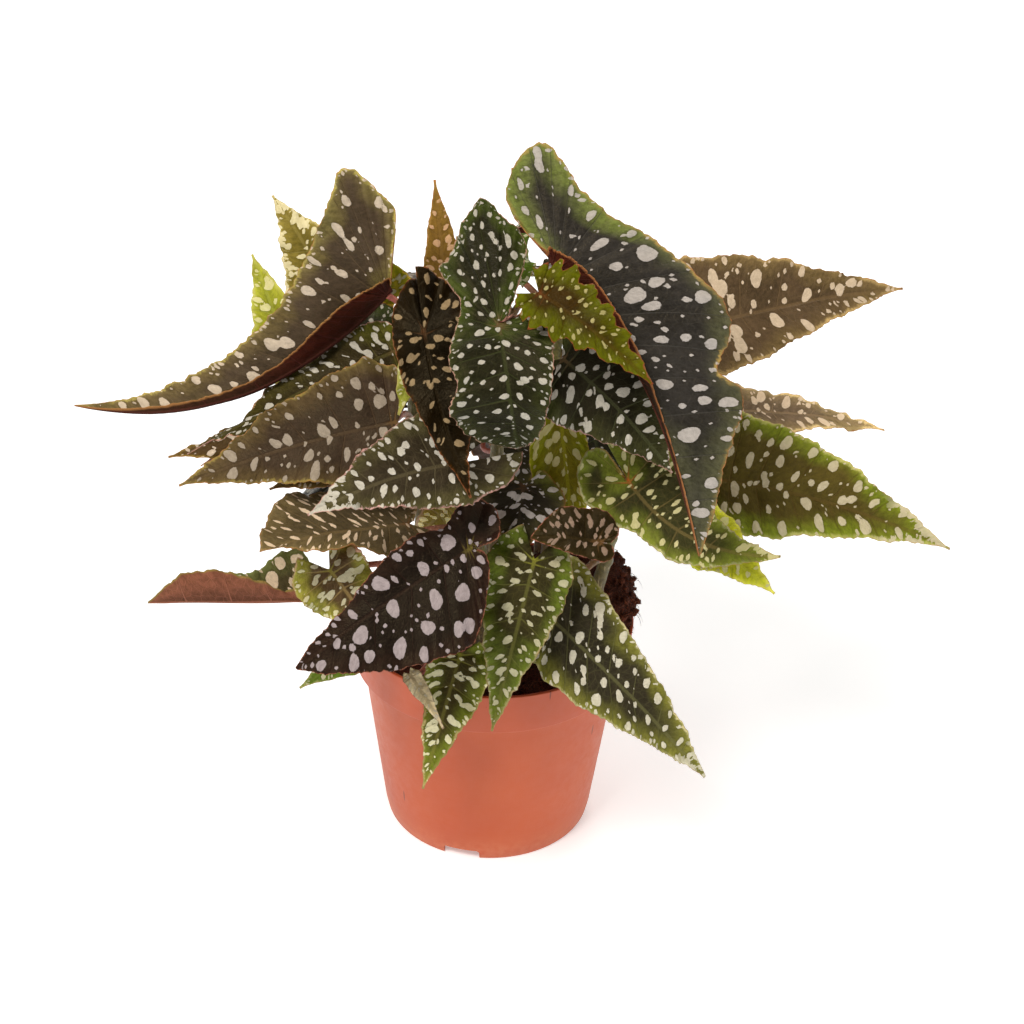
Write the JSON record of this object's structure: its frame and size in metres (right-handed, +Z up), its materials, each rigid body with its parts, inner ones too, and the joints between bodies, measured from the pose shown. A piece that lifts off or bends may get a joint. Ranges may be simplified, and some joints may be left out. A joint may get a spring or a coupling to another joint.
{
  "type": "potted polka dot begonia",
  "caption": "Bushy house plant with silver-spotted, wing-shaped leaves on arching stalks, rooted in heaped peat in a terracotta-coloured nursery pot.",
  "frame": {"origin": "centre of the flat stand in the middle of the pot's base, on the surface that the pot stands on", "axes": "+Z up along the pot's axis; -Y is the front, which the leaves with the largest blades face; +X to the right seen from the front"},
  "size_m": [0.3483, 0.2437, 0.317],
  "materials": {
    "pot": "terracotta-coloured nursery pot plastic, satin",
    "peat": "moist fibrous peat, rough",
    "stem": "smooth fleshy stem, brown-green with pink petioles",
    "leaf_charcoal": "near-black green leaf with silver dots, satin",
    "leaf_dark": "dark green leaf with silver dots, satin",
    "leaf_olive": "olive-brown leaf with silver dots, satin",
    "leaf_rose": "rose-brown leaf with silver dots, satin",
    "leaf_bright": "bright green leaf with pale dots, satin",
    "leaf_lime": "lime green young leaf with pale dots, satin",
    "leaf_cream": "cream and olive leaf, satin",
    "leaf_dried": "withered grey-beige leaf, matt"
  },
  "bodies": {
    "root": {"pot": "pot", "peat": "peat", "cane_left": "stem", "cane_middle": "stem", "cane_right": "stem", "cane_front": "stem", "cane_side": "stem", "cane_backLeft": "stem", "cane_backRight": "stem", "leaf_upper_left": "leaf_olive", "leaf_cream_back": "leaf_cream", "leaf_lime_back": "leaf_lime", "leaf_under_left": "leaf_dark", "leaf_mid_left": "leaf_olive", "leaf_tip_left": "leaf_olive", "leaf_maroon_left": "leaf_rose", "leaf_silver_tip": "leaf_dark", "leaf_striped": "leaf_rose", "leaf_narrow_wavy": "leaf_charcoal", "leaf_centre": "leaf_dark", "leaf_small_back": "leaf_olive", "leaf_toothed": "leaf_bright", "leaf_upper_right": "leaf_charcoal", "leaf_rose_right": "leaf_rose", "leaf_narrow_right": "leaf_rose", "leaf_lower_right": "leaf_bright", "leaf_glossy_right": "leaf_bright", "leaf_lime_right": "leaf_lime", "leaf_hanging": "leaf_bright", "leaf_under_centre": "leaf_dark", "leaf_dark_centre": "leaf_charcoal", "leaf_brown_centre": "leaf_rose", "leaf_black_lower": "leaf_charcoal", "leaf_green_tip": "leaf_bright", "leaf_bright_centre": "leaf_bright", "leaf_olive_front": "leaf_olive", "leaf_dried": "leaf_dried", "leaf_front_right": "leaf_dark", "leaf_folded_left": "leaf_rose", "leaf_green_left": "leaf_bright", "leaf_crinkled": "leaf_lime", "leaf_backlit": "leaf_lime", "leaf_young_left": "leaf_bright", "leaf_inner_left": "leaf_dark", "leaf_inner_right": "leaf_charcoal", "leaf_inner_centre": "leaf_charcoal", "leaf_inner_lower": "leaf_dark", "leaf_back_1": "leaf_charcoal", "leaf_back_2": "leaf_dark", "leaf_back_3": "leaf_olive", "leaf_back_4": "leaf_dark", "leaf_back_5": "leaf_rose", "leaf_back_6": "leaf_charcoal", "leaf_back_7": "leaf_dark", "leaf_back_8": "leaf_bright", "leaf_back_9": "leaf_olive", "leaf_back_10": "leaf_bright", "leaf_back_11": "leaf_dark", "leaf_back_top": "leaf_bright", "leaf_back_12": "leaf_charcoal"}
  },
  "joints": []
}
